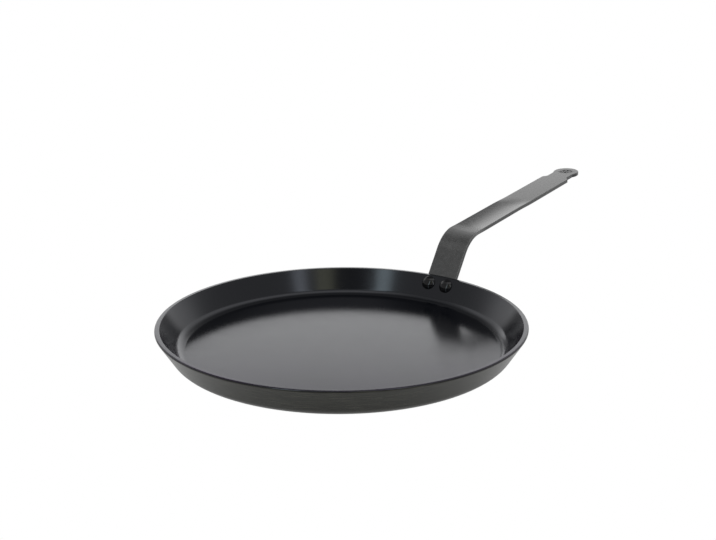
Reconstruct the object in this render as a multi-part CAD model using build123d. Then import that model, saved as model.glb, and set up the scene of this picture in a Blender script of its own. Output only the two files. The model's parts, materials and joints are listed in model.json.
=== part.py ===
"""Crepe pan of dark sheet steel with a riveted flat-bar handle.

Four pieces, all rigid: the pressed pan body, the bent bar that is the handle, and two rivets.
Millimetres. The origin is the centre of the face that the pan stands on, +Z is up, and the
handle reaches out along +X.
"""
from build123d import *
import os
from math import asin, cos, degrees, radians, sin, sqrt, tan

# Pan body
rim_diameter = 260.0  # over the outside of the rim
pan_height = 22.2  # from the standing face to the top of the rim
wall_lean = 32.2  # degrees that the wall leans outwards from upright
sheet_thickness = 3.5
floor_corner_radius = 12.0  # outside, where the floor turns up into the wall
rim_inner_radius = 0.5  # the inner edge of the cut rim is rounded over
rim_outer_radius = 1.0  # and the outer edge twice as much

# Rivets
rivet_inset = 4.8  # from each long edge of the bar in to the rivet's centre
rivet_drop = 8.6  # from the rim down the outside of the wall to the rivets
rivet_shank_diameter = 6.0
rivet_hole_clearance = 0.1  # between shank and hole, all round
head_diameter = 11.0  # the domed head inside the pan
head_height = 2.9
head_rim_height = 0.6  # the upright edge round the dome
tail_diameter = 8.0  # the set head outside
tail_height = 2.2
tail_rim_height = 0.8

# Handle
bar_width = 26.0
bar_thickness = 3.0
bar_edge_radius = 0.5  # the bar's long edges are rounded over
foot_below_rivets = 8.0  # bar left below the rivets' centres
foot_corner_radius = 4.0
blend_height = 12.0  # above the rim, over which the curved foot turns into the flat riser
riser_lean = 33.0  # degrees that the riser leans outwards from upright
bend_height = 29.6  # above the rim, where the upper faces of riser and grip would meet
bend_radius = 29.3  # of the bend's upper face
grip_rise = 6.1  # degrees that the grip rises towards its end
grip_length = 172.0  # along the grip, from where the two upper faces would meet to the shoulders
shoulder_length = 3.3
shoulder_depth = 3.2  # how far each shoulder narrows the bar, which leaves the neck
shoulder_radius = 2.0
eye_distance = 22.0  # from the shoulders to the centre of the eye
eye_swell = 1.7  # how far the round eye stands out past each side of the neck
hanging_hole_diameter = 12.0

overrun = 5.0  # how far a cutting tool reaches past what it cuts

lean_sin, lean_cos = sin(radians(wall_lean)), cos(radians(wall_lean))
# Outer radius of the rim before its edge is rounded, which brings it in to half the rim diameter
rim_radius = rim_diameter / 2 + rim_outer_radius * (lean_sin + 1 - lean_cos) / lean_cos


def pan_section():
    """Half section of the dish on the XZ plane, from the axis out to the rim."""
    sharp_corner = rim_radius - pan_height * tan(radians(wall_lean))
    reach = floor_corner_radius * tan(radians(90 - wall_lean) / 2)
    flat_radius = sharp_corner - reach
    inner_corner_radius = floor_corner_radius - sheet_thickness
    outer_turn = (sharp_corner + reach * lean_sin, reach * lean_cos)
    inner_turn = (
        flat_radius + inner_corner_radius * lean_cos,
        floor_corner_radius - inner_corner_radius * lean_sin,
    )
    rim_width = sheet_thickness / lean_cos
    with BuildSketch(Plane.XZ) as section:
        with BuildLine():
            Line((0, 0), (flat_radius, 0))
            TangentArc((flat_radius, 0), outer_turn, tangent=(1, 0))
            Line(outer_turn, (rim_radius, pan_height))
            Line((rim_radius, pan_height), (rim_radius - rim_width, pan_height))
            Line((rim_radius - rim_width, pan_height), inner_turn)
            TangentArc((flat_radius, sheet_thickness), inner_turn, tangent=(1, 0))
            Line((flat_radius, sheet_thickness), (0, sheet_thickness))
            Line((0, sheet_thickness), (0, 0))
        make_face()
        fillet(section.vertices().group_by(Axis.Y)[-1].sort_by(Axis.X)[0], rim_inner_radius)
        fillet(section.vertices().sort_by(Axis.X)[-1], rim_outer_radius)
    return section.sketch


def wall_plane(drop, out=0.0):
    """Plane on the outside of the wall under the rim, with its normal pointing out of the wall.

    Its X runs across the handle and its Y up the wall. drop is measured down the wall from the
    rim, and out is the distance from the wall's outer face.
    """
    origin = (
        rim_radius - drop * lean_sin + out * lean_cos,
        0,
        pan_height - drop * lean_cos - out * lean_sin,
    )
    return Plane(origin=origin, x_dir=(0, 1, 0), z_dir=(lean_cos, 0, -lean_sin))


def at_rivets(piece):
    """Copies of a piece made on the middle line, turned round the pan to the two rivet places."""
    seat_radius = rim_radius - rivet_drop * lean_sin
    half_angle = degrees(asin((bar_width / 2 - rivet_inset) / seat_radius))
    return {
        "left_rivet": piece.rotate(Axis.Z, half_angle),
        "right_rivet": piece.rotate(Axis.Z, -half_angle),
    }


def rivet_hole():
    """Tool that cuts one rivet hole through the wall and the foot on the middle line."""
    depth = sheet_thickness + bar_thickness + 2 * overrun
    radius = rivet_shank_diameter / 2 + rivet_hole_clearance
    plane = wall_plane(rivet_drop, -sheet_thickness - overrun)
    return extrude(plane * Circle(radius), depth)


def curved_foot():
    """The part of the bar that lies on the wall, curved as the wall is, up to the rim's height."""
    foot_length = rivet_drop + foot_below_rivets
    foot_end = (rim_radius - foot_length * lean_sin, pan_height - foot_length * lean_cos)
    outward = (bar_thickness * lean_cos, -bar_thickness * lean_sin)
    with BuildSketch(Plane.XZ) as section:
        with BuildLine():
            Polyline(
                (rim_radius, pan_height),
                foot_end,
                (foot_end[0] + outward[0], foot_end[1] + outward[1]),
                (rim_radius + bar_thickness / lean_cos, pan_height),
                close=True,
            )
        make_face()
    half_turn = degrees(asin(bar_width / 2 / foot_end[0])) * 2
    shell = revolve(section.sketch, Axis.Z, 2 * half_turn).rotate(Axis.Z, -half_turn)
    top_margin = bar_thickness + overrun
    with BuildSketch(wall_plane(foot_length, -overrun)) as outline:
        with Locations((0, (foot_length + top_margin) / 2)):
            Rectangle(bar_width, foot_length + top_margin)
        fillet(outline.vertices().group_by(Axis.Y)[0], foot_corner_radius)
    return shell & extrude(outline.sketch, bar_thickness + 2 * overrun)


def riser_start():
    """Distance from the pan's axis to the flat riser's upper face, where the blend ends."""
    rim_at_edge = sqrt(rim_radius**2 - (bar_width / 2) ** 2)
    return rim_at_edge + blend_height * tan(radians(riser_lean))


def blend():
    """The stretch in which the bar's curved foot turns into the flat riser."""
    half = bar_width / 2
    inner, outer = rim_radius, rim_radius + bar_thickness / lean_cos
    inner_edge, outer_edge = sqrt(inner**2 - half**2), sqrt(outer**2 - half**2)
    with BuildSketch(Plane.XY.offset(pan_height)) as curved:
        with BuildLine():
            ThreePointArc((inner_edge, -half), (inner, 0), (inner_edge, half))
            Line((inner_edge, half), (outer_edge, half))
            ThreePointArc((outer_edge, half), (outer, 0), (outer_edge, -half))
            Line((outer_edge, -half), (inner_edge, -half))
        make_face()
    flat_inner = riser_start()
    flat_outer = flat_inner + bar_thickness / cos(radians(riser_lean))
    with BuildSketch(Plane.XY.offset(pan_height + blend_height)) as flat:
        with BuildLine():
            Polyline(
                (flat_inner, -half), (flat_inner, half), (flat_outer, half), (flat_outer, -half),
                close=True,
            )
        make_face()
    return loft([curved.sketch, flat.sketch], ruled=True)


def grip_plane():
    """Plane of the grip's upper face: origin where the two upper faces would meet, X along it."""
    lift = bend_height - blend_height
    corner = (riser_start() + lift * tan(radians(riser_lean)), 0, pan_height + bend_height)
    along = (cos(radians(grip_rise)), 0, sin(radians(grip_rise)))
    return Plane(origin=corner, x_dir=along, z_dir=(-along[2], 0, along[0]))


def riser_and_bend():
    """The flat riser and the single bend, up to where the grip starts."""
    lean, rise = radians(riser_lean), radians(grip_rise)
    turn = radians(90) - lean - rise
    reach = bend_radius * tan(turn / 2)
    corner = grip_plane().origin
    bend_low = (corner.X - reach * sin(lean), corner.Z - reach * cos(lean))
    bend_high = (corner.X + reach * cos(rise), corner.Z + reach * sin(rise))
    under_low = (bend_low[0] + bar_thickness * cos(lean), bend_low[1] - bar_thickness * sin(lean))
    under_high = (bend_high[0] + bar_thickness * sin(rise), bend_high[1] - bar_thickness * cos(rise))
    start = riser_start()
    start_height = pan_height + blend_height
    with BuildSketch(Plane.XZ) as section:
        with BuildLine():
            Line((start, start_height), bend_low)
            TangentArc(bend_low, bend_high, tangent=(sin(lean), cos(lean)))
            Line(bend_high, under_high)
            TangentArc(under_low, under_high, tangent=(sin(lean), cos(lean)))
            Line(under_low, (start + bar_thickness / cos(lean), start_height))
            Line((start + bar_thickness / cos(lean), start_height), (start, start_height))
        make_face()
    return extrude(section.sketch, bar_width / 2, both=True)


def grip():
    """The straight grip with its shoulders, neck and round eye, and the hanging hole."""
    turn = radians(90 - riser_lean - grip_rise)
    start = bend_radius * tan(turn / 2)
    shoulder_end = grip_length + shoulder_length
    eye_centre = grip_length + eye_distance
    half, neck_half = bar_width / 2, bar_width / 2 - shoulder_depth
    eye_radius = neck_half + eye_swell
    neck_meets_eye = eye_centre - sqrt(eye_radius**2 - neck_half**2)
    with BuildSketch(grip_plane()) as outline:
        with BuildLine():
            Line((start, -half), (start, half))
            Polyline((start, half), (grip_length, half), (shoulder_end, neck_half),
                     (neck_meets_eye, neck_half))
            ThreePointArc((neck_meets_eye, neck_half), (eye_centre + eye_radius, 0),
                          (neck_meets_eye, -neck_half))
            Polyline((neck_meets_eye, -neck_half), (shoulder_end, -neck_half), (grip_length, -half),
                     (start, -half))
        make_face()
        fillet(outline.vertices().sort_by(Axis.X)[2:], shoulder_radius)
        with Locations((eye_centre, 0)):
            Circle(hanging_hole_diameter / 2, mode=Mode.SUBTRACT)
    return extrude(outline.sketch, -bar_thickness)


def rounded_bar(bar):
    """The bar with its edges rounded over: from the long edges the rounding runs round it all."""
    long_edges = bar.edges().filter_by(GeomType.LINE).sort_by(SortBy.LENGTH)[-4:]
    return fillet(long_edges, bar_edge_radius)


def solid_rivet(wall, bar):
    """One rivet on the middle line, its two heads shaped to the wall and the bar they clamp."""
    seat = min(sheet_thickness, bar_thickness) / 2
    with BuildSketch(Plane.XZ) as head_section:
        with BuildLine():
            Polyline((0, head_height), (0, -seat), (head_diameter / 2, -seat),
                     (head_diameter / 2, head_rim_height))
            ThreePointArc((head_diameter / 2, head_rim_height), dome_middle(head_diameter,
                          head_rim_height, head_height), (0, head_height))
        make_face()
    with BuildSketch(Plane.XZ) as tail_section:
        with BuildLine():
            Polyline((0, tail_height), (0, -seat), (tail_diameter / 2, -seat),
                     (tail_diameter / 2, tail_rim_height))
            ThreePointArc((tail_diameter / 2, tail_rim_height), dome_middle(tail_diameter,
                          tail_rim_height, tail_height), (0, tail_height))
        make_face()
    inside = wall_plane(rivet_drop, -sheet_thickness)
    inside = Plane(origin=inside.origin, x_dir=inside.x_dir, z_dir=-inside.z_dir)
    outside = wall_plane(rivet_drop, bar_thickness)
    head = inside.location * revolve(head_section.sketch, Axis.Z) - wall
    tail = outside.location * revolve(tail_section.sketch, Axis.Z) - bar
    shank_start = wall_plane(rivet_drop, -sheet_thickness - head_rim_height)
    shank_length = head_rim_height + sheet_thickness + bar_thickness + tail_rim_height
    shank = extrude(shank_start * Circle(rivet_shank_diameter / 2), shank_length)
    return head + shank + tail


def dome_middle(diameter, low, high):
    """Point halfway round the arc of a dome, from the top of its upright edge to its crown."""
    half_width, rise = diameter / 2, high - low
    sphere = (half_width**2 + rise**2) / (2 * rise)
    half_angle = asin(half_width / sphere) / 2
    return (sphere * sin(half_angle), high - sphere + sphere * cos(half_angle))


wall = revolve(pan_section(), Axis.Z)
bar = rounded_bar(curved_foot() + blend() + riser_and_bend() + grip())
rivets = at_rivets(solid_rivet(wall, bar))
holes = at_rivets(rivet_hole())

pieces = {"pan_body": wall, "handle": bar}
for hole in holes.values():
    pieces["pan_body"] -= hole
    pieces["handle"] -= hole
pieces.update(rivets)

os.makedirs("parts", exist_ok=True)
for name, piece in pieces.items():
    piece.label = name
    export_step(piece, f"parts/{name}.step")
    print(name, len(piece.solids()), "solid", round(piece.volume), "mm3")
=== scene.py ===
"""Looks of a crepe pan: a pressed dish of blue-black steel with a riveted, bent flat-bar handle.

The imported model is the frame. Each node is modelled again here at its own size, with the small
forms and the finishes that show from close by. Metres. The origin is the middle of the face that
the pan stands on, +Z is up, and the handle reaches out along +X.
"""

import json
import logging
import math
from dataclasses import dataclass
from enum import Enum
from typing import Mapping, Optional, Sequence, Union

import bmesh
import bpy
from mathutils import Matrix, Vector


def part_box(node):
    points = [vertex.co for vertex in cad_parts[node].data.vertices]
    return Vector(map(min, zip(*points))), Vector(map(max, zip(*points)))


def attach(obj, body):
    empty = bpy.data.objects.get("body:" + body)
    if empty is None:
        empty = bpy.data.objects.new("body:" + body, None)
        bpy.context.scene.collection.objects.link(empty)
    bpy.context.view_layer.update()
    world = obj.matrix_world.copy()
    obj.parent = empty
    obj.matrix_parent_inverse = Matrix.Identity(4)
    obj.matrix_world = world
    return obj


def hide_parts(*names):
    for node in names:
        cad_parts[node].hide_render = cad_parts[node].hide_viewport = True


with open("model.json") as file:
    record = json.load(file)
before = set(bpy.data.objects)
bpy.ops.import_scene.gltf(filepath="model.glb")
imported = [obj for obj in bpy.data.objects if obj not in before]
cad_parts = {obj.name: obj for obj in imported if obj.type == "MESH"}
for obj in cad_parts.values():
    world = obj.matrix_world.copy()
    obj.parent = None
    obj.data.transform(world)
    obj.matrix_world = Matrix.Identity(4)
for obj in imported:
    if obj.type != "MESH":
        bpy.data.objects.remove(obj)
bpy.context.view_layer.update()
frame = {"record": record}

log = logging.getLogger("crepe_pan")

BODY = "root"
QUARTER_TURN = math.pi / 2
HALF_TURN = math.pi
FULL_TURN = 2 * math.pi
SHARP_FOLD = math.radians(60)  # an edge that folds more than this is a corner of the bar
LIP_FOLD = math.radians(25)  # and one that folds more than this is a lip of a rivet's head
HOLE_MARGIN = 0.00035  # least width of the ring of faces round a hole
SAME_PLACE = 1e-6  # points that are nearer than this are one point
NOISE_MIDDLE = 0.5  # what a noise ranges round


# Shader graphs


class Signal:
    """A number that varies over a surface. Its operators add Math nodes to the graph."""

    def __init__(self, graph: "Graph", socket: bpy.types.NodeSocket) -> None:
        """Wraps an output socket of the graph."""
        self.graph = graph
        self.socket = socket

    def maths(self, operation: str, *operands: "Operand") -> "Signal":
        """Adds one Math node.

        Args:
            operation: the node's operation.
            operands: its inputs, in order.

        Returns:
            The node's result.
        """
        node = self.graph.node("ShaderNodeMath", {"operation": operation}, dict(enumerate(operands)))
        return Signal(self.graph, node.outputs[0])

    def __add__(self, other: "Operand") -> "Signal":
        """Sum."""
        return self.maths("ADD", self, other)

    def __radd__(self, other: "Operand") -> "Signal":
        """Sum, with the number on the left."""
        return self.maths("ADD", other, self)

    def __sub__(self, other: "Operand") -> "Signal":
        """Difference."""
        return self.maths("SUBTRACT", self, other)

    def __rsub__(self, other: "Operand") -> "Signal":
        """Difference, with the number on the left."""
        return self.maths("SUBTRACT", other, self)

    def __mul__(self, other: "Operand") -> "Signal":
        """Product."""
        return self.maths("MULTIPLY", self, other)

    def __rmul__(self, other: "Operand") -> "Signal":
        """Product, with the number on the left."""
        return self.maths("MULTIPLY", other, self)

    def step(self, start: float, end: float) -> "Signal":
        """Smooth step of the signal.

        Args:
            start: the value where the step is 0.
            end: the value where the step is 1. It may be below start.

        Returns:
            A signal from 0 to 1.
        """
        settings = {"interpolation_type": "SMOOTHSTEP"}
        inputs = {"Value": self, "From Min": start, "From Max": end}
        node = self.graph.node("ShaderNodeMapRange", settings, inputs)
        return Signal(self.graph, node.outputs["Result"])


Operand = Union[Signal, float]
Colour = Sequence[float]


class Graph:
    """The node tree of one material or world."""

    def __init__(self, tree: bpy.types.NodeTree) -> None:
        """Takes the tree and clears it."""
        self.tree = tree
        tree.nodes.clear()

    def node(
        self,
        kind: str,
        settings: Optional[Mapping[str, object]] = None,
        inputs: Optional[Mapping[Union[int, str], object]] = None,
    ) -> bpy.types.Node:
        """Adds a node.

        Args:
            kind: the node's type.
            settings: its properties, set first.
            inputs: a value, socket or signal for each input socket, by name or index.

        Returns:
            The node.
        """
        made = self.tree.nodes.new(kind)
        for name, value in (settings or {}).items():
            setattr(made, name, value)
        for key, value in (inputs or {}).items():
            source = value.socket if isinstance(value, Signal) else value
            if isinstance(source, bpy.types.NodeSocket):
                self.tree.links.new(source, made.inputs[key])
            else:
                made.inputs[key].default_value = source
        return made

    def signal(self, node: bpy.types.Node, output: str) -> Signal:
        """Wraps one output of a node."""
        return Signal(self, node.outputs[output])

    def attribute(self, name: str) -> Signal:
        """Reads an attribute of the mesh."""
        return self.signal(self.node("ShaderNodeAttribute", {"attribute_name": name}), "Fac")

    def place(self, scale: Sequence[float] = (1.0, 1.0, 1.0)) -> bpy.types.NodeSocket:
        """Object coordinates, scaled for a pattern."""
        coordinates = self.node("ShaderNodeTexCoord")
        inputs = {"Vector": coordinates.outputs["Object"], "Scale": scale}
        return self.node("ShaderNodeMapping", {"vector_type": "POINT"}, inputs).outputs[0]

    def noise(
        self, where: bpy.types.NodeSocket, size: float, detail: float = 2.0, roughness: float = 0.5
    ) -> Signal:
        """Noise with features of about the given size.

        Args:
            where: the coordinates that it reads.
            size: width of its largest features, in metres before any scaling.
            detail: number of finer layers.
            roughness: strength of the finer layers.

        Returns:
            A signal of about 0.3 to 0.7, around 0.5.
        """
        inputs = {"Vector": where, "Scale": 1 / size, "Detail": detail, "Roughness": roughness}
        return self.signal(self.node("ShaderNodeTexNoise", {}, inputs), "Fac")

    def blend(self, share: Operand, low: object, high: object) -> bpy.types.NodeSocket:
        """Mixes two colours.

        Args:
            share: 0 gives low and 1 gives high.
            low: a colour or a colour socket.
            high: a colour or a colour socket.

        Returns:
            The mixed colour's socket.
        """
        def rgba(colour: object) -> object:
            """Gives a plain colour its alpha."""
            return colour if isinstance(colour, bpy.types.NodeSocket) else (*colour, 1.0)

        inputs = {0: share, 6: rgba(low), 7: rgba(high)}
        return self.node("ShaderNodeMix", {"data_type": "RGBA"}, inputs).outputs[2]

    def bump(self, height: Signal, distance: float) -> bpy.types.NodeSocket:
        """Normal that follows a height.

        Args:
            height: the height, from 0 to 1.
            distance: what a height of 1 is, in metres.

        Returns:
            The normal's socket.
        """
        inputs = {"Height": height, "Distance": distance}
        return self.node("ShaderNodeBump", {}, inputs).outputs[0]


# Finishes


@dataclass(frozen=True)
class Finish:
    """What every finish of the pan has: its gloss and a way to build its material."""

    ior: float  # index of refraction, which sets the gloss

    def material(self, name: str) -> bpy.types.Material:
        """Builds the material.

        Args:
            name: the material's name.

        Returns:
            The material, with its nodes.
        """
        made = bpy.data.materials.new(name)
        made.use_nodes = True
        graph = Graph(made.node_tree)
        shader = graph.node("ShaderNodeBsdfPrincipled", {}, {"IOR": self.ior, **self.surface(graph)})
        graph.node("ShaderNodeOutputMaterial", {}, {"Surface": shader.outputs[0]})
        return made

    def surface(self, graph: Graph) -> dict[str, object]:
        """Values and signals for the shader's sockets."""
        raise NotImplementedError


@dataclass(frozen=True)
class PolishedOxide(Finish):
    """Smooth blue-black oxide inside the dish, with a violet drift towards one side."""

    ior: float = 1.84
    tint: Colour = (0.0009, 0.0013, 0.0026)
    violet_tint: Colour = (0.0090, 0.0040, 0.0150)
    violet_way: float = math.radians(218)  # round from +X, where the violet oxide is thickest
    violet_reach: tuple[float, float] = (-0.02, 0.12)  # that way from the middle, for none and all of it
    sheen: Colour = (0.91, 0.93, 1.0)  # of what it mirrors
    roughness: float = 0.17
    patch_size: float = 0.045  # of the patches of violet
    patch_edge: tuple[float, float] = (0.2, 0.6)  # the noise just outside and just inside a patch
    cloud_size: float = 0.011  # of the clouds of duller oxide
    cloud_depth: float = 0.06  # range of the roughness
    grain_size: float = 0.0006
    grain_height: float = 0.000002

    def surface(self, graph: Graph) -> dict[str, object]:
        """Values and signals for the shader's sockets."""
        where = graph.place()
        patches = graph.noise(where, self.patch_size).step(*self.patch_edge)
        axes = graph.node("ShaderNodeSeparateXYZ", {}, {0: where})
        along_x, along_y = (graph.signal(axes, axis) for axis in "XY")
        way = math.cos(self.violet_way) * along_x + math.sin(self.violet_way) * along_y
        violet = way.step(*self.violet_reach) * patches
        cloud = graph.noise(where, self.cloud_size, detail=4.0, roughness=0.6)
        grain = graph.noise(where, self.grain_size)
        return {
            "Base Color": graph.blend(violet, self.tint, self.violet_tint),
            "Specular Tint": (*self.sheen, 1.0),
            "Roughness": self.roughness + self.cloud_depth * (cloud - NOISE_MIDDLE),
            "Normal": graph.bump(grain, self.grain_height),
        }


@dataclass(frozen=True)
class BrushedOxide(Finish):
    """Duller oxide outside the dish, with fine marks that run round it and a painted reflection of the white
    floor along its foot.
    """

    ior: float = 1.385
    tint: Colour = (0.0080, 0.0082, 0.0062)
    streak_tint: Colour = (0.036, 0.036, 0.028)
    # painted reflection: a paler colour in speckled patches along the foot, where the wall mirrors the white
    # floor
    painted_floor_reflection_tint: Colour = (0.080, 0.079, 0.070)
    sheen: Colour = (1.0, 1.0, 0.94)  # of what it mirrors
    roughness: float = 0.22
    streak_length: float = 0.012
    streak_fineness: float = 30.0  # how many times shorter the streaks are from top to bottom
    streak_edge: tuple[float, float] = (0.42, 0.72)  # the noise just outside and well inside a streak
    streak_depth: float = 0.12  # range of the roughness
    speckle_size: float = 0.0009
    floor_reflection_height: tuple[float, float] = (0.0045, 0.0010)  # above the base, where the painted floor reflection ends and where it is full
    floor_reflection_edge: tuple[float, float] = (0.2, 0.6)  # the speckle just outside and well inside a patch of the painted floor reflection
    mark_height: float = 0.000006

    def surface(self, graph: Graph) -> dict[str, object]:
        """Values and signals for the shader's sockets."""
        squashed = graph.place((1.0, 1.0, self.streak_fineness))
        streaks = graph.noise(squashed, self.streak_length, detail=3.0, roughness=0.6)
        where = graph.place()
        speckle = graph.noise(where, self.speckle_size, detail=3.0)
        marked = graph.blend(streaks.step(*self.streak_edge), self.tint, self.streak_tint)
        height = graph.signal(graph.node("ShaderNodeSeparateXYZ", {}, {0: where}), "Z")
        # painted reflection of the white floor, which lightens the foot of the wall in speckled patches
        painted_floor_reflection = height.step(*self.floor_reflection_height) * speckle.step(*self.floor_reflection_edge)
        return {
            "Base Color": graph.blend(painted_floor_reflection, marked, self.painted_floor_reflection_tint),
            "Specular Tint": (*self.sheen, 1.0),
            "Roughness": self.roughness + self.streak_depth * (streaks - NOISE_MIDDLE),
            "Normal": graph.bump(speckle + streaks, self.mark_height),
        }


@dataclass(frozen=True)
class DullCoating(Finish):
    """Dull dark grey coating of the handle, with a painted highlight at the bend and worn on the rounded
    edges.

    The bar's mesh says where: its wear attribute is 1 on the rounded edges, and its second attribute is 1
    where the bar was bent most, where the coating is rougher and a highlight is painted in.
    """

    ior: float = 2.25
    tint: Colour = (0.044, 0.044, 0.044)
    dusty_tint: Colour = (0.066, 0.066, 0.066)
    # painted highlight: a paler colour on the bend, in place of its bright reflection
    painted_bend_highlight_tint: Colour = (0.14, 0.14, 0.14)
    worn_tint: Colour = (0.20, 0.20, 0.20)
    worn_share: float = 0.5  # of the coating that is gone on the rounded edges
    roughness: float = 0.18
    strained_dullness: float = 0.25  # how much rougher the bent stretch is
    mottle_size: float = 0.0035
    mottle_depth: float = 0.08  # range of the roughness
    mottle_height: float = 0.000005
    dust_edge: tuple[float, float] = (0.3, 0.7)  # the mottle where there is no dust, and where it is full
    grain_size: float = 0.0005
    grain_share: float = 0.3  # of the mottle's height

    def surface(self, graph: Graph) -> dict[str, object]:
        """Values and signals for the shader's sockets."""
        where = graph.place()
        mottle = graph.noise(where, self.mottle_size, detail=4.0, roughness=0.6)
        grain = graph.noise(where, self.grain_size)
        wear, strain_and_highlight = (graph.attribute(name) for name in ("wear", "strain_and_highlight"))
        dusted = graph.blend(mottle.step(*self.dust_edge), self.tint, self.dusty_tint)
        # painted highlight on the bend, from the second attribute of the bar's mesh
        coated = graph.blend(strain_and_highlight, dusted, self.painted_bend_highlight_tint)
        dullness = self.roughness + self.mottle_depth * (mottle - NOISE_MIDDLE)
        return {
            "Base Color": graph.blend(self.worn_share * wear * mottle, coated, self.worn_tint),
            "Roughness": dullness + self.strained_dullness * strain_and_highlight,
            "Normal": graph.bump(mottle + self.grain_share * grain, self.mottle_height),
        }


@dataclass(frozen=True)
class GlossBlack(Finish):
    """Glossy black of the rivets, with faint dimples."""

    ior: float = 1.75
    tint: Colour = (0.0006, 0.0006, 0.0014)
    roughness: float = 0.11
    dimple_size: float = 0.0015
    dimple_depth: float = 0.08  # range of the roughness
    dimple_height: float = 0.000008

    def surface(self, graph: Graph) -> dict[str, object]:
        """Values and signals for the shader's sockets."""
        dimple = graph.noise(graph.place(), self.dimple_size)
        return {
            "Base Color": (*self.tint, 1.0),
            "Roughness": self.roughness + self.dimple_depth * (dimple - NOISE_MIDDLE),
            "Normal": graph.bump(dimple, self.dimple_height),
        }


# Meshes


def spread(start: float, end: float, step: float) -> list[float]:
    """Evenly spaced values.

    Args:
        start: the first value, which is left out.
        end: the last value.
        step: the most that two neighbours may differ by.

    Returns:
        The values after start, up to and with end.
    """
    count = max(1, math.ceil(abs(end - start) / step))
    return [start + (end - start) * (i + 1) / count for i in range(count)]


def arc_points(
    centre: tuple[float, float], radius: float, start: float, end: float, steps: int
) -> list[tuple[float, float]]:
    """Points along an arc, both ends included.

    Args:
        centre: the arc's centre.
        radius: its radius.
        start: angle of the first point.
        end: angle of the last point.
        steps: number of straight steps.

    Returns:
        The points.
    """
    turns = [start + (end - start) * i / steps for i in range(steps + 1)]
    return [(centre[0] + radius * math.cos(a), centre[1] + radius * math.sin(a)) for a in turns]


def smooth(share: float) -> float:
    """Smooth step of a share, clamped to 0 and 1."""
    t = min(1.0, max(0.0, share))
    return t * t * (3 - 2 * t)


def lathe(section: Sequence[tuple[float, float]], turns: int) -> bmesh.types.BMesh:
    """Spins a closed half section about the Z axis.

    Args:
        section: (radius, height) points, from the axis round to the axis again.
        turns: number of steps in the full turn.

    Returns:
        The closed shape.
    """
    bm = bmesh.new()
    verts = [bm.verts.new((radius, 0, height)) for radius, height in section]
    edges = [bm.edges.new(pair) for pair in zip(verts, verts[1:])]
    bmesh.ops.spin(
        bm, geom=verts + edges, cent=(0, 0, 0), axis=(0, 0, 1), dvec=(0, 0, 0),
        angle=FULL_TURN, steps=turns, use_merge=True, use_normal_flip=False, use_duplicate=False,
    )
    bmesh.ops.remove_doubles(bm, verts=bm.verts, dist=SAME_PLACE)
    bmesh.ops.recalc_face_normals(bm, faces=bm.faces)
    return bm


def pierce(
    bm: bmesh.types.BMesh, hole: Matrix, radius: float, depth: float, segments: int = 32
) -> list[bmesh.types.BMEdge]:
    """Cuts a round hole through both faces of a closed sheet.

    The faces that touch a slightly wider circle give way to a ring round the hole on each side,
    and a wall joins the two rings.

    Args:
        bm: the sheet, with faces smaller than the hole where it goes through.
        hole: the hole's frame, with its origin in the upper face and its axis along Z.
        radius: the hole's radius.
        depth: more than the sheet's thickness, and less than the way to anything else.
        segments: number of sides of the hole.

    Returns:
        The edges of both rims of the hole.
    """
    to_hole = hole.inverted()
    reach = radius + HOLE_MARGIN

    def touches(face: bmesh.types.BMFace) -> bool:
        """Whether a face comes within reach of the hole's axis."""
        corners = [to_hole @ vert.co for vert in face.verts]
        return any(abs(c.z) < depth and c.xy.length < reach for c in corners)

    near = [face for face in bm.faces if touches(face)]
    levels = {face: (to_hole @ face.calc_center_median()).z for face in near}
    middle = sum(levels.values()) / len(levels)
    borders = []
    for upper in (True, False):
        side = [face for face in near if (levels[face] > middle) == upper]
        edges = dict.fromkeys(edge for face in side for edge in face.edges)
        border = [edge for edge in edges if sum(face in side for face in edge.link_faces) == 1]
        borders.append((border, sum(levels[face] for face in side) / len(side)))
    bmesh.ops.delete(bm, geom=near, context="FACES")
    rims = []
    for border, level in borders:
        placed = hole @ Matrix.Translation((0, 0, level))
        made = bmesh.ops.create_circle(
            bm, cap_ends=False, segments=segments, radius=radius, matrix=placed
        )
        rim = list(dict.fromkeys(edge for vert in made["verts"] for edge in vert.link_edges))
        bmesh.ops.bridge_loops(bm, edges=border + rim)
        rims += rim
    bmesh.ops.bridge_loops(bm, edges=rims)
    for edge in rims:
        edge.smooth = False
    bmesh.ops.recalc_face_normals(bm, faces=bm.faces)
    return rims


def finished(
    bm: bmesh.types.BMesh, name: str, materials: Sequence[bpy.types.Material]
) -> bpy.types.Object:
    """Makes a smooth-shaded object of a bmesh, at the origin.

    Args:
        bm: the mesh, which is freed.
        name: the piece's name.
        materials: its material slots.

    Returns:
        The object, linked to the scene.
    """
    for face in bm.faces:
        face.smooth = True
    mesh = bpy.data.meshes.new(name)
    bm.to_mesh(mesh)
    bm.free()
    for material in materials:
        mesh.materials.append(material)
    piece = bpy.data.objects.new(name, mesh)
    bpy.context.scene.collection.objects.link(piece)
    weighting = piece.modifiers.new("face_weighted_normals", "WEIGHTED_NORMAL")
    weighting.keep_sharp = True
    return piece


# The pan's pieces


class DishSide(Enum):
    """Which of the dish's two finishes a face has, by its material slot."""

    INSIDE = 0
    OUTSIDE = 1


class BarFace(Enum):
    """Which of the bar's two finishes a face has, by its material slot."""

    FLAT = 0
    SIDE = 1


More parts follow.
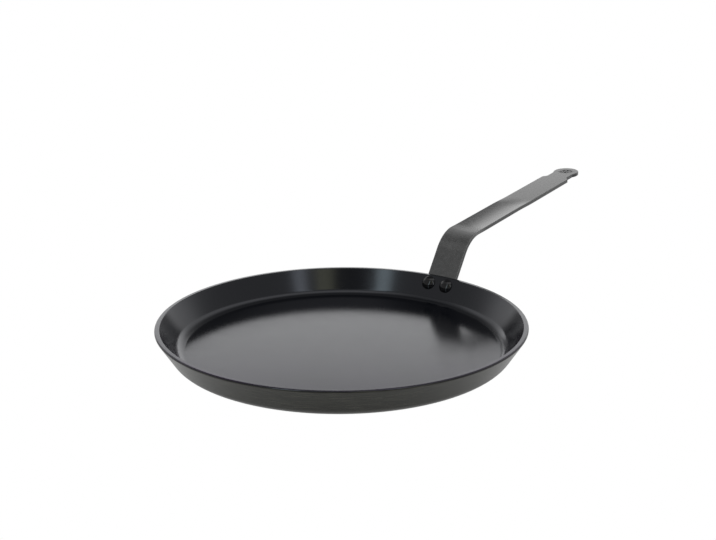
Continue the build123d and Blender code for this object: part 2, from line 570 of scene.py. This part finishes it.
@dataclass
class Dish:
    """The pressed dish: a flat floor, a rounded corner, a flared wall and a plain cut rim."""

    outer_radius: float  # over the rounded rim
    height: float
    sheet: float = 0.0035
    wall_lean: float = math.radians(32.2)
    corner_radius: float = 0.012  # outside, where the floor turns up into the wall
    inner_round: float = 0.0005  # radius of the rim's inner edge
    outer_round: float = 0.001  # and of its outer edge
    turns: int = 360
    corner_steps: int = 20
    inner_rim_steps: int = 6
    outer_rim_steps: int = 10
    floor_step: float = 0.006  # the most that neighbouring points of the section lie apart
    wall_step: float = 0.0013
    rim_step: float = 0.001
    inward_rise: float = 0.5  # a face whose normal rises more than this is inside the dish
    inside: Finish = PolishedOxide()
    outside: Finish = BrushedOxide()

    @property
    def sharp_rim(self) -> float:
        """Radius of the rim before its edge is rounded."""
        lean_sin, lean_cos = math.sin(self.wall_lean), math.cos(self.wall_lean)
        return self.outer_radius + self.outer_round * (lean_sin + 1 - lean_cos) / lean_cos

    def rivet_frame(self, drop: float, aside: float) -> Matrix:
        """Frame of a rivet on the inner face of the wall.

        Args:
            drop: distance from the rim down the outside of the wall.
            aside: distance to the left of the handle's middle line, negative to the right.

        Returns:
            A frame whose Z points out of the wall into the dish and whose X runs along the wall.
        """
        lean_sin, lean_cos = math.sin(self.wall_lean), math.cos(self.wall_lean)
        seat_radius = self.sharp_rim - drop * lean_sin
        seat = Vector((seat_radius, 0, self.height - drop * lean_cos))
        inward = Vector((-lean_cos, 0, lean_sin))
        seat += self.sheet * inward
        across = Vector((0, 1, 0))
        frame_at_seat = Matrix((across, inward.cross(across), inward)).transposed().to_4x4()
        frame_at_seat.translation = seat
        return Matrix.Rotation(math.asin(aside / seat_radius), 4, "Z") @ frame_at_seat

    def section(self) -> list[tuple[float, float]]:
        """Closed half section, from the axis over the floor and the rim to the axis below."""
        lean = self.wall_lean
        lean_sin, lean_cos = math.sin(lean), math.cos(lean)
        sharp_corner = self.sharp_rim - self.height * math.tan(lean)
        flat = sharp_corner - self.corner_radius * math.tan((QUARTER_TURN - lean) / 2)
        corner = (flat, self.corner_radius)
        down, out, up = -QUARTER_TURN, -lean, QUARTER_TURN
        inner_corner = arc_points(corner, self.corner_radius - self.sheet, down, out, self.corner_steps)
        outer_corner = arc_points(corner, self.corner_radius, out, down, self.corner_steps)
        inner_rim_x = self.sharp_rim - self.sheet / lean_cos + self.inner_round * (
            lean_cos - (1 - lean_sin) * lean_sin / lean_cos
        )
        inner_bend = (inner_rim_x, self.height - self.inner_round)
        outer_bend = (self.outer_radius - self.outer_round, self.height - self.outer_round)
        inner_rim = arc_points(inner_bend, self.inner_round, HALF_TURN - lean, up, self.inner_rim_steps)
        outer_rim = arc_points(outer_bend, self.outer_round, up, out, self.outer_rim_steps)
        floor = [(r, self.sheet) for r in [0.0] + spread(0.0, flat, self.floor_step)]
        underside = [(r, 0.0) for r in [flat] + spread(flat, 0.0, self.floor_step)]
        return (
            floor[:-1]
            + inner_corner
            + self.between(inner_corner[-1], inner_rim[0], self.wall_step)
            + inner_rim
            + self.between(inner_rim[-1], outer_rim[0], self.rim_step)
            + outer_rim
            + self.between(outer_rim[-1], outer_corner[0], self.wall_step)
            + outer_corner
            + underside[1:]
        )

    @staticmethod
    def between(
        start: tuple[float, float], end: tuple[float, float], step: float
    ) -> list[tuple[float, float]]:
        """Points on a straight stretch of the section, without its two ends."""
        shares = spread(0.0, 1.0, step / math.dist(start, end))[:-1]
        return [(start[0] + (end[0] - start[0]) * t, start[1] + (end[1] - start[1]) * t) for t in shares]

    def build(self, holes: Sequence[Matrix], hole_radius: float) -> bpy.types.Object:
        """Builds the dish with its rivet holes.

        Args:
            holes: the rivets' frames.
            hole_radius: radius of each hole.

        Returns:
            The finished piece.
        """
        bm = lathe(self.section(), self.turns)
        for hole in holes:
            pierce(bm, hole, hole_radius, 2 * self.sheet)
        self.dress(bm)
        materials = [self.inside.material("polished_oxide"), self.outside.material("brushed_oxide")]
        return finished(bm, "steel_dish", materials)

    def dress(self, bm: bmesh.types.BMesh) -> None:
        """Gives each face the finish of its side."""
        for face in bm.faces:
            looks_in = face.normal.z > self.inward_rise
            face.material_index = (DishSide.INSIDE if looks_in else DishSide.OUTSIDE).value


@dataclass
class Rivet:
    """One rivet: a domed head inside, a shank, and the set head outside."""

    seat: Matrix  # on the inner face of the wall, with Z into the dish
    grip: float  # thickness of wall and bar together
    wall_radius: float  # of the wall's curve round the pan
    shank_radius: float = 0.003
    head_radius: float = 0.0055
    head_height: float = 0.0029
    head_edge: float = 0.0006  # height of the upright edge round the dome
    tail_radius: float = 0.004
    tail_height: float = 0.0022
    tail_edge: float = 0.0008
    lip_round: float = 0.0003
    lip_steps: int = 3
    fullness: float = 2.8  # 2 is a plain dome, and more is flatter on top
    dome_steps: int = 24
    turns: int = 64
    gloss: Finish = GlossBlack()

    def dome(self, radius: float, edge: float, height: float) -> list[tuple[float, float]]:
        """Section of a head above its seat, from its crown out and down to the seat.

        Args:
            radius: the head's radius.
            edge: height of its upright edge.
            height: height of its crown.

        Returns:
            (radius, height) points.
        """
        shares = [math.sin(QUARTER_TURN * i / self.dome_steps) for i in range(self.dome_steps + 1)]
        rise = height - edge
        crown = [(radius * share, height - rise * share**self.fullness) for share in shares]
        return crown + [(radius, edge / 2), (radius, 0.0)]

    def section(self) -> list[tuple[float, float]]:
        """Closed half section, from the crown of the head to the crown of the tail."""
        head = self.dome(self.head_radius, self.head_edge, self.head_height)
        tail = self.dome(self.tail_radius, self.tail_edge, self.tail_height)
        shank = [(self.shank_radius, 0.0), (self.shank_radius, -self.grip)]
        return head + shank + [(r, -self.grip - z) for r, z in reversed(tail)]

    def is_lip(self, edge: bmesh.types.BMEdge) -> bool:
        """Whether an edge goes round a head, and not round the shank."""
        on_head = min(vert.co.xy.length for vert in edge.verts) > self.shank_radius
        return on_head and edge.calc_face_angle(0.0) > LIP_FOLD

    def build(self, name: str) -> bpy.types.Object:
        """Builds the rivet in its place.

        Args:
            name: the piece's name.

        Returns:
            The finished piece.
        """
        bm = lathe(self.section(), self.turns)
        lips = [edge for edge in bm.edges if self.is_lip(edge)]
        bmesh.ops.bevel(
            bm, geom=lips, offset=self.lip_round, offset_type="OFFSET", segments=self.lip_steps,
            profile=0.5, affect="EDGES", material=-1, clamp_overlap=True,
        )
        for vert in bm.verts:
            vert.co.z += vert.co.x**2 / (2 * self.wall_radius)
        bmesh.ops.transform(bm, matrix=self.seat, verts=bm.verts)
        bmesh.ops.recalc_face_normals(bm, faces=bm.faces)
        return finished(bm, name, [self.gloss.material("gloss_black")])


@dataclass
class BarHandle:
    """The handle: one flat bar with a curved foot, a riser, one bend, a grip and a round eye.

    A place on the unbent bar is (along, across, out): metres from the foot's end, metres to the
    left of the middle line, and metres out of the upper face.
    """

    dish: Dish
    hole_radius: float  # of the hanging hole
    width: float = 0.026
    thickness: float = 0.003
    edge_round: float = 0.0005
    hole_round: float = 0.0003
    rivet_drop: float = 0.0086
    rivet_inset: float = 0.0048
    rivet_hole_radius: float = 0.0031
    foot_below_rivets: float = 0.008
    foot_corner: float = 0.004
    blend_height: float = 0.012
    riser_lean: float = math.radians(33.0)
    bend_height: float = 0.0296
    bend_radius: float = 0.0293
    grip_rise: float = math.radians(6.1)
    grip_length: float = 0.172
    shoulder_length: float = 0.0033
    shoulder_depth: float = 0.0032  # how far each side steps in from the grip to the neck
    eye_distance: float = 0.022
    eye_swell: float = 0.0017  # how much more the eye's radius is than half the neck's width
    hollow: float = 0.0008  # how far the bent bar's edges stand above its middle
    hollow_lead: float = 0.004  # how far before the bend the hollow starts
    hollow_full: float = 0.006  # how far before the bend's end it is full
    hollow_start: float = 0.082  # along the grip, where the hollow starts to fade
    hollow_end: float = 0.104
    saddle: float = 0.3  # how much deeper the hollow is at the bend
    strain_and_highlight_start: float = 1 / 3  # of the bend, where the rougher stretch with the painted highlight starts
    strain_and_highlight_reach: float = 0.012  # how far the rougher stretch with the painted highlight reaches past the bend
    column_shares: tuple[float, ...] = (0.16, 0.32, 0.48, 0.64, 0.8, 0.93)  # of the half width
    foot_step: float = 0.0012  # the most that neighbouring cuts across the bar lie apart
    riser_step: float = 0.002
    bend_step: float = 0.0008
    grip_step: float = 0.004
    eye_step: float = 0.0018
    cut_margin: float = 0.001  # between a cut and an end of the bar or its shoulders
    round_steps: int = 4
    foot_steps: int = 9
    shoulder_steps: int = 10
    eye_steps: int = 30
    hole_segments: int = 64
    side_rise: float = 0.4  # a face of the unbent bar whose normal rises less is on its side
    coating: Finish = DullCoating()
    # painted shade: a darker, less glossy copy of the coating for the bar's sides, which catch less light
    # than its flat faces
    painted_shade_sides: Finish = DullCoating(ior=1.5, tint=(0.012, 0.012, 0.012), dusty_tint=(0.016, 0.016, 0.016))

    def __post_init__(self) -> None:
        """Works out the corners of the middle line, in the plane of the pan's axis."""
        dish, lean = self.dish, self.dish.wall_lean
        self.foot_length = self.rivet_drop + self.foot_below_rivets
        self.rim = Vector((dish.sharp_rim, 0, dish.height))
        self.foot_along = Vector((math.sin(lean), 0, math.cos(lean)))
        self.foot_end = self.rim - self.foot_length * self.foot_along
        self.riser_along = Vector((math.sin(self.riser_lean), 0, math.cos(self.riser_lean)))
        rim_at_edge = math.sqrt(dish.sharp_rim**2 - (self.width / 2) ** 2)
        blend_out = self.blend_height * math.tan(self.riser_lean)
        self.riser_start = Vector((rim_at_edge + blend_out, 0, dish.height + self.blend_height))
        lift = self.bend_height - self.blend_height
        self.corner = self.riser_start + self.riser_along * (lift / math.cos(self.riser_lean))
        self.grip_along = Vector((math.cos(self.grip_rise), 0, math.sin(self.grip_rise)))
        self.turn = QUARTER_TURN - self.riser_lean - self.grip_rise
        self.bend_reach = self.bend_radius * math.tan(self.turn / 2)
        self.bend_start = self.corner - self.bend_reach * self.riser_along
        self.blend_length = (self.riser_start - self.rim).length
        self.blend_end = self.foot_length + self.blend_length
        self.riser_end = self.blend_end + (self.bend_start - self.riser_start).length
        self.bend_end = self.riser_end + self.bend_radius * self.turn
        self.grip_zero = self.bend_end - self.bend_reach
        self.shoulder = self.grip_zero + self.grip_length
        self.eye = self.shoulder + self.eye_distance
        self.neck_half = self.width / 2 - self.shoulder_depth
        self.eye_radius = self.neck_half + self.eye_swell
        self.chord = math.sqrt(self.eye_radius**2 - self.neck_half**2)
        self.rivet_aside = self.width / 2 - self.rivet_inset

    def middle_line(self, along: float) -> tuple[Vector, Vector]:
        """Follows the middle of the bent bar's upper face.

        Args:
            along: distance from the foot's end.

        Returns:
            The point, and the direction in which the bar runs there.
        """
        if along <= self.foot_length:
            return self.foot_end + along * self.foot_along, self.foot_along
        if along <= self.blend_end:
            t = (along - self.foot_length) / self.blend_length
            start, end = self.foot_along * self.blend_length, self.riser_along * self.blend_length
            point = (
                (2 * t**3 - 3 * t**2 + 1) * self.rim + (t**3 - 2 * t**2 + t) * start
                + (3 * t**2 - 2 * t**3) * self.riser_start + (t**3 - t**2) * end
            )
            return point, self.foot_along.lerp(self.riser_along, smooth(t)).normalized()
        if along <= self.riser_end:
            return self.riser_start + (along - self.blend_end) * self.riser_along, self.riser_along
        if along <= self.bend_end:
            turned = Matrix.Rotation((along - self.riser_end) / self.bend_radius, 3, "Y")
            out = Vector((-self.riser_along.z, 0, self.riser_along.x))
            centre = self.bend_start - self.bend_radius * out
            return centre + self.bend_radius * (turned @ out), turned @ self.riser_along
        return self.corner + (along - self.grip_zero) * self.grip_along, self.grip_along

    def hollowness(self, along: float) -> float:
        """Share of the full hollow at a place along the bar."""
        past = along - self.grip_zero
        start, end = self.riser_end - self.hollow_lead, self.bend_end - self.hollow_full
        rise = smooth((along - start) / (end - start))
        fade = 1 - smooth((past - self.hollow_start) / (self.hollow_end - self.hollow_start))
        return rise * fade * (1 + self.saddle * self.bend_strain_and_highlight(along))

    def bend_strain_and_highlight(self, along: float) -> float:
        """Share of the strained stretch at a place along the bar, which is rougher, has a deeper hollow and
        carries a painted highlight.
        """
        start = self.riser_end + (self.bend_end - self.riser_end) * self.strain_and_highlight_start
        end = self.bend_end + self.strain_and_highlight_reach
        rise = smooth((along - start) / (self.bend_end - start))
        return rise * (1 - smooth((along - self.bend_end) / (end - self.bend_end)))

    def bent(self, flat: Vector) -> Vector:
        """Bends a point of the unbent bar into its place.

        Args:
            flat: (along, across, out) on the unbent bar.

        Returns:
            The point on the pan.
        """
        along, across, out = flat
        point, way = self.middle_line(along)
        upper = Vector((-way.z, 0, way.x))
        share = (2 * across / self.width) ** 2  # 0 in the middle and 1 at the edges, 1/3 on average
        point = point + upper * (out + self.hollow * self.hollowness(along) * (share - 1 / 3))
        curl = 1 - smooth((along - self.foot_length) / self.blend_length)
        sag = math.sqrt(point.x**2 - across**2) - point.x
        return Vector((point.x + curl * sag, across, point.z))

    def left_side(self) -> list[Vector]:
        """Left half of the unbent bar's outline, from the foot's end to the far side of the eye."""
        half = self.width / 2
        corner = (self.foot_corner, half - self.foot_corner)
        foot = arc_points(corner, self.foot_corner, HALF_TURN, QUARTER_TURN, self.foot_steps)
        ease = self.shoulder_length / 4  # of extra length at each end, so that the shoulder swings in softly
        start, span = self.shoulder - ease, self.shoulder_length + 2 * ease
        shares = [i / self.shoulder_steps for i in range(self.shoulder_steps + 1)]
        shoulder = [(start + span * t, half - self.shoulder_depth * smooth(t)) for t in shares]
        opening = math.atan2(self.neck_half, self.chord)
        eye = arc_points((self.eye, 0.0), self.eye_radius, HALF_TURN - opening, 0.0, self.eye_steps)
        return [Vector(point) for point in foot + shoulder + eye]

    def lay_flat(self) -> bmesh.types.BMesh:
        """Lays out the unbent bar as a slab with rounded edges, with the part that wears marked."""
        bm = bmesh.new()
        left = self.left_side()
        right = [Vector((point.x, -point.y)) for point in reversed(left[:-1])]
        verts = [bm.verts.new((point.x, point.y, 0)) for point in left + right]
        upper = bm.faces.new(verts)
        grown = bmesh.ops.extrude_face_region(bm, geom=[upper])
        under = [item for item in grown["geom"] if isinstance(item, bmesh.types.BMVert)]
        bmesh.ops.translate(bm, verts=under, vec=(0, 0, -self.thickness))
        bmesh.ops.recalc_face_normals(bm, faces=bm.faces)
        self.round_off(bm, [e for e in bm.edges if e.calc_face_angle(0.0) > SHARP_FOLD], self.edge_round)
        return bm

    def round_off(
        self, bm: bmesh.types.BMesh, edges: Sequence[bmesh.types.BMEdge], offset: float
    ) -> None:
        """Rounds edges and marks the rounding in the wear attribute.

        Args:
            bm: the bar.
            edges: the edges to round.
            offset: width of the rounding on each face.
        """
        wear = bm.faces.layers.float.get("wear") or bm.faces.layers.float.new("wear")
        rounded = bmesh.ops.bevel(
            bm, geom=list(edges), offset=offset, offset_type="OFFSET", segments=self.round_steps,
            profile=0.5, affect="EDGES", material=-1, clamp_overlap=True,
        )
        for face in rounded["faces"]:
            face[wear] = 1.0

    def cut_lines(self, bm: bmesh.types.BMesh) -> None:
        """Cuts the slab across and along, so that it can bend and be pierced."""
        margin = self.cut_margin
        neck = self.shoulder + self.shoulder_length
        across = (
            spread(margin, self.foot_length, self.foot_step)
            + spread(self.foot_length, self.blend_end, self.foot_step)
            + spread(self.blend_end, self.riser_end, self.riser_step)
            + spread(self.riser_end, self.bend_end, self.bend_step)
            + spread(self.bend_end, self.shoulder - margin, self.grip_step)
            + spread(neck + margin, self.eye + self.eye_radius - margin, self.eye_step)
        )
        along = [side * share * self.width / 2 for share in self.column_shares for side in (-1, 1)]
        for place in across:
            self.cut(bm, Vector((place, 0, 0)), Vector((1, 0, 0)))
        for place in [0.0] + along:
            self.cut(bm, Vector((0, place, 0)), Vector((0, 1, 0)))

    @staticmethod
    def cut(bm: bmesh.types.BMesh, place: Vector, normal: Vector) -> None:
        """Cuts the mesh along a plane and keeps both sides."""
        geometry = bm.verts[:] + bm.edges[:] + bm.faces[:]
        bmesh.ops.bisect_plane(bm, geom=geometry, dist=SAME_PLACE, plane_co=place, plane_no=normal)

    def build(self) -> bpy.types.Object:
        """Builds the bar flat, pierces it and bends it into shape.

        Returns:
            The finished piece.
        """
        bm = self.lay_flat()
        self.cut_lines(bm)
        for side in (-1, 1):
            rivet = Matrix.Translation((self.foot_below_rivets, side * self.rivet_aside, 0))
            pierce(bm, rivet, self.rivet_hole_radius, 2 * self.thickness)
        eye = Matrix.Translation((self.eye, 0, 0))
        rims = pierce(bm, eye, self.hole_radius, 2 * self.thickness, self.hole_segments)
        self.round_off(bm, rims, self.hole_round)
        for face in bm.faces:
            is_side = abs(face.normal.z) < self.side_rise
            face.material_index = (BarFace.SIDE if is_side else BarFace.FLAT).value
        strain_and_highlight = bm.verts.layers.float.new("strain_and_highlight")
        for vert in bm.verts:
            vert[strain_and_highlight] = self.bend_strain_and_highlight(vert.co.x)
            vert.co = self.bent(vert.co)
        bmesh.ops.recalc_face_normals(bm, faces=bm.faces)
        # the second slot holds the painted shade of the sides
        materials = [self.coating.material("dull_coating"), self.painted_shade_sides.material("painted_shade_on_sides")]
        return finished(bm, "bent_bar", materials)


# The studio


@dataclass
class PhotoCamera:
    """The camera, at the place and angle from which the pan is seen."""

    distance: float = 0.7585  # from the middle of the pan's base
    elevation: float = math.radians(20.70)
    handle_azimuth: float = math.radians(52.05)  # of the handle, from the right of the picture
    roll: float = math.radians(-0.466)
    focal_pixels: float = 1066.4
    picture: tuple[int, int] = (716, 540)
    base_pixel: tuple[float, float] = (341.55, 348.27)  # where the middle of the base shows
    sensor: float = 36.0  # millimetres
    clip: tuple[float, float] = (0.01, 100.0)

    def build(self) -> None:
        """Makes the camera and gives it to the scene."""
        data = bpy.data.cameras.new("photo_camera")
        data.sensor_width = self.sensor
        data.lens = self.sensor * self.focal_pixels / self.picture[0]
        data.clip_start, data.clip_end = self.clip
        level = Vector((0, -math.cos(self.elevation), math.sin(self.elevation)))
        towards = -level
        right = Vector((1, 0, 0))
        facing = Matrix((right, -right.cross(towards), towards))
        ray = Vector((
            self.base_pixel[0] - self.picture[0] / 2,
            self.base_pixel[1] - self.picture[1] / 2,
            self.focal_pixels,
        )).normalized()
        yaw, pitch = math.atan2(ray.x, ray.z), -math.asin(ray.y)
        turned = (
            Matrix.Rotation(self.roll, 3, "Z") @ Matrix.Rotation(yaw, 3, "Y")
            @ Matrix.Rotation(pitch, 3, "X") @ facing
        )
        to_handle = Matrix.Rotation(-self.handle_azimuth, 3, "Z")
        axes = [to_handle @ turned[0], to_handle @ -turned[1], to_handle @ -turned[2]]
        placed = Matrix(axes).transposed().to_4x4()
        placed.translation = to_handle @ (level * self.distance)
        camera = bpy.data.objects.new("photo_camera", data)
        camera.matrix_world = placed
        bpy.context.scene.collection.objects.link(camera)
        bpy.context.scene.camera = camera


@dataclass(frozen=True)
class Lamp:
    """One soft lamp of the studio, turned towards the pan."""

    name: str
    side: float  # degrees round from the camera, to its right
    elevation: float  # degrees
    distance: float
    width: float
    height: float
    brightness: float  # 1 shows as white
    colour: Colour = (1.0, 1.0, 1.0)
    mirrored: bool = True  # whether the steel shows it

    def build(self, camera_azimuth: float) -> None:
        """Hangs the lamp.

        Args:
            camera_azimuth: the way from the pan to the camera, from -Y round to -X.
        """
        data = bpy.data.lights.new(self.name, "AREA")
        data.shape = "RECTANGLE"
        data.size, data.size_y = self.width, self.height
        data.energy = self.brightness * math.pi * self.width * self.height
        data.color = self.colour
        turn, rise = math.radians(self.side) - camera_azimuth, math.radians(self.elevation)
        level = math.cos(rise)
        away = Vector((math.sin(turn) * level, -math.cos(turn) * level, math.sin(rise)))
        facing = away.to_track_quat("Z", "Y").to_matrix().to_4x4()
        made = bpy.data.objects.new(self.name, data)
        made.matrix_world = Matrix.Translation(away * self.distance) @ facing
        made.visible_glossy = self.mirrored
        bpy.context.scene.collection.objects.link(made)
        log.info("%s lamp", self.name)


def heights(angles: tuple[float, float]) -> tuple[float, float]:
    """How high two directions rise, for their elevations in degrees."""
    return math.sin(math.radians(angles[0])), math.sin(math.radians(angles[1]))


def nearnesses(angles: tuple[float, float]) -> tuple[float, float]:
    """Cosines of two angles in degrees."""
    return math.cos(math.radians(angles[0])), math.cos(math.radians(angles[1]))


@dataclass(frozen=True)
class Shade:
    """A round, darker part of the surroundings."""

    side: float  # degrees round from the camera, to its right
    elevation: float  # degrees
    edge: tuple[float, float]  # degrees from its middle, where it starts to fade and where it ends
    rest: float  # share of the light that is left in its middle

    def share(self, right: Signal, away: Signal, up: Signal) -> Signal:
        """Works out the share of the light that is left in a direction.

        Args:
            right: the direction's part to the camera's right.
            away: its part away from the camera.
            up: its part upwards.

        Returns:
            The share, from rest to 1.
        """
        side, rise = math.radians(self.side), math.radians(self.elevation)
        level = math.sin(side) * right - math.cos(side) * away
        towards = math.cos(rise) * level + math.sin(rise) * up
        inner, outer = nearnesses(self.edge)
        return 1 - (1 - self.rest) * towards.step(outer, inner)


@dataclass
class Studio:
    """White floor and backdrop, a bright low background and a soft light overhead."""

    camera_azimuth: float
    floor_size: float = 12.0
    floor_colour: Colour = (0.86, 0.86, 0.86)
    floor_near: float = 0.15  # from the pan's middle, where the floor starts to whiten
    floor_far: float = 0.9
    whiteness_near: float = 0.92  # share of plain white that the camera sees near the pan
    mirrored_near: float = 0.88  # the same share as the steel shows it
    backdrop: float = 1.42  # brightness of the background behind the pan, near the floor
    backdrop_top: float = 0.98  # and near its upper edge
    backdrop_fade: tuple[float, float] = (12.0, 28.0)  # degrees of elevation
    backdrop_edge: tuple[float, float] = (21.5, 27.0)  # degrees of elevation where it ends
    backdrop_side: tuple[float, float] = (0.75, 0.95)  # how directly behind the pan it starts and is full
    horizon: float = 0.12  # what is left of it along the floor's far edge
    horizon_edge: tuple[float, float] = (4.5, 9.5)  # degrees of elevation
    gap: float = 0.10  # brightness of the dark gap above the backdrop
    gap_elevation: float = 56.3
    gap_edge: tuple[float, float] = (18.6, 43.0)  # degrees from the middle of the gap
    overhead: float = 0.56  # brightness of the soft light round the gap
    overhead_edge: tuple[float, float] = (54.6, 57.2)
    front: float = 0.22  # brightness of the studio on the camera's side
    side_glow: float = 0.14  # how much brighter the surroundings are low down at the sides
    side_glow_edge: tuple[float, float] = (15.0, 22.0)  # degrees of elevation
    side_glow_side: tuple[float, float] = (0.0, 0.4)  # how directly behind the pan
    shades: tuple[Shade, ...] = (
        Shade(side=-8.0, elevation=42.0, edge=(8.0, 15.0), rest=0.35),
        Shade(side=-106.0, elevation=56.0, edge=(10.0, 26.0), rest=0.45),
    )
    lamps: tuple[Lamp, ...] = (
        Lamp(
            "plain_overhead", side=0, elevation=84, distance=2.2, width=3.0, height=3.0,
            brightness=1.7, mirrored=False,
        ),
        Lamp(
            "left_strip", side=-37.5, elevation=33, distance=1.6, width=0.24, height=1.5,
            brightness=1.35, colour=(0.78, 0.95, 1.0),
        ),
        Lamp(
            "right_strip", side=37, elevation=33, distance=1.6, width=0.20, height=1.5,
            brightness=0.90, colour=(0.85, 0.92, 1.0),
        ),
        Lamp(
            "low_strip", side=15, elevation=45, distance=1.6, width=0.27, height=0.6,
            brightness=0.36, colour=(1.0, 1.0, 0.55),
        ),
    )

    def build(self) -> None:
        """Makes the floor, the world and the lamps."""
        bpy.context.scene.view_settings.view_transform = "Standard"
        self.build_floor()
        self.build_world()
        for lamp in self.lamps:
            lamp.build(self.camera_azimuth)

    def build_floor(self) -> None:
        """Lays the floor: pale, and white from afar, so that only a soft shadow shows on it."""
        bm = bmesh.new()
        bmesh.ops.create_grid(bm, x_segments=1, y_segments=1, size=self.floor_size / 2)
        mesh = bpy.data.meshes.new("studio_floor")
        bm.to_mesh(mesh)
        bm.free()
        material = bpy.data.materials.new("pale_floor")
        material.use_nodes = True
        material.cycles.emission_sampling = "NONE"
        graph = Graph(material.node_tree)
        path = graph.node("ShaderNodeLightPath")
        places = graph.node("ShaderNodeTexCoord").outputs["Object"]
        length = graph.node("ShaderNodeVectorMath", {"operation": "LENGTH"}, {0: places})
        far = graph.signal(length, "Value").step(self.floor_near, self.floor_far)
        glossy, through = (graph.signal(path, f"Is {ray} Ray") for ray in ("Glossy", "Transmission"))
        seen_share = self.whiteness_near + (1 - self.whiteness_near) * far
        mirrored_share = self.mirrored_near + (1 - self.mirrored_near) * far
        seen = graph.signal(path, "Is Camera Ray") * seen_share
        share = seen + glossy.maths("MAXIMUM", through) * mirrored_share
        matt = graph.node("ShaderNodeBsdfDiffuse", {}, {"Color": (*self.floor_colour, 1.0)})
        white = graph.node("ShaderNodeEmission", {}, {"Color": (1.0, 1.0, 1.0, 1.0), "Strength": 1.0})
        inputs = {0: share, 1: matt.outputs[0], 2: white.outputs[0]}
        mixed = graph.node("ShaderNodeMixShader", {}, inputs)
        graph.node("ShaderNodeOutputMaterial", {}, {"Surface": mixed.outputs[0]})
        mesh.materials.append(material)
        floor = bpy.data.objects.new("studio_floor", mesh)
        bpy.context.scene.collection.objects.link(floor)

    def build_world(self) -> None:
        """Makes the surroundings: white to the camera, and the studio's brightness to the pan."""
        world = bpy.data.worlds.new("studio_world")
        world.use_nodes = True
        bpy.context.scene.world = world
        graph = Graph(world.node_tree)
        direction = graph.node("ShaderNodeTexCoord").outputs["Generated"]
        turned = graph.node("ShaderNodeMapping", {"vector_type": "POINT"}, {
            "Vector": direction, "Rotation": (0.0, 0.0, self.camera_azimuth),
        })
        axes = graph.node("ShaderNodeSeparateXYZ", {}, {0: turned.outputs[0]})
        right, away, up = (graph.signal(axes, axis) for axis in "XYZ")
        low, high = heights(self.backdrop_edge)
        backdrop = up.step(high, low) * away.step(*self.backdrop_side)
        bottom, top = heights(self.backdrop_fade)
        glow = self.backdrop + (self.backdrop_top - self.backdrop) * up.step(bottom, top)
        middle = math.radians(self.gap_elevation)
        towards_gap = math.cos(middle) * away + math.sin(middle) * up
        inner, outer = nearnesses(self.gap_edge)
        near, far = nearnesses(self.overhead_edge)
        overhead = (self.overhead - self.gap) * towards_gap.step(inner, outer)
        front = (self.overhead - self.front) * towards_gap.step(near, far)
        studio = self.gap + overhead - front
        for shade in self.shades:
            studio = studio * shade.share(right, away, up)
        full, none = heights(self.side_glow_edge)
        studio = studio + self.side_glow * up.step(none, full) * away.step(*self.side_glow_side)
        studio = studio + (glow - studio) * backdrop
        dark, clear = heights(self.horizon_edge)
        studio = studio * (self.horizon + (1 - self.horizon) * up.step(dark, clear))
        seen = graph.signal(graph.node("ShaderNodeLightPath"), "Is Camera Ray")
        strength = seen + (1 - seen) * studio
        light = {"Color": (1.0, 1.0, 1.0, 1.0), "Strength": strength}
        background = graph.node("ShaderNodeBackground", {}, light)
        graph.node("ShaderNodeOutputWorld", {}, {"Surface": background.outputs[0]})


def stand_for(piece: bpy.types.Object, node: str) -> None:
    """Lets a piece take a node's place.

    Args:
        piece: the finished piece.
        node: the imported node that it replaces.
    """
    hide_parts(node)
    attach(piece, BODY)
    log.info("%s: %d faces, stands for %s", piece.name, len(piece.data.polygons), node)


def main() -> None:
    """Builds the pan's pieces, the studio and the camera."""
    logging.basicConfig(level=logging.INFO, format="%(message)s")
    mounts = {mount["name"]: mount for mount in frame["record"]["mounts"]}
    low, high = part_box("pan_body")
    dish = Dish(outer_radius=(high.y - low.y) / 2, height=high.z)
    handle = BarHandle(dish, hole_radius=mounts["hanging_hole"]["dims"]["r_mm"] / 1000)
    seats = {
        "left_rivet": dish.rivet_frame(handle.rivet_drop, handle.rivet_aside),
        "right_rivet": dish.rivet_frame(handle.rivet_drop, -handle.rivet_aside),
    }
    stand_for(dish.build(list(seats.values()), handle.rivet_hole_radius), "pan_body")
    stand_for(handle.build(), "handle")
    for node, seat in seats.items():
        curve = seat.translation.xy.length / math.cos(dish.wall_lean)  # square to the slanted wall
        rivet = Rivet(seat, grip=dish.sheet + handle.thickness, wall_radius=curve)
        stand_for(rivet.build(node.replace("rivet", "set_rivet")), node)
    camera = PhotoCamera()
    camera.build()
    Studio(camera.handle_azimuth).build()


if __name__ == "__main__":
    main()
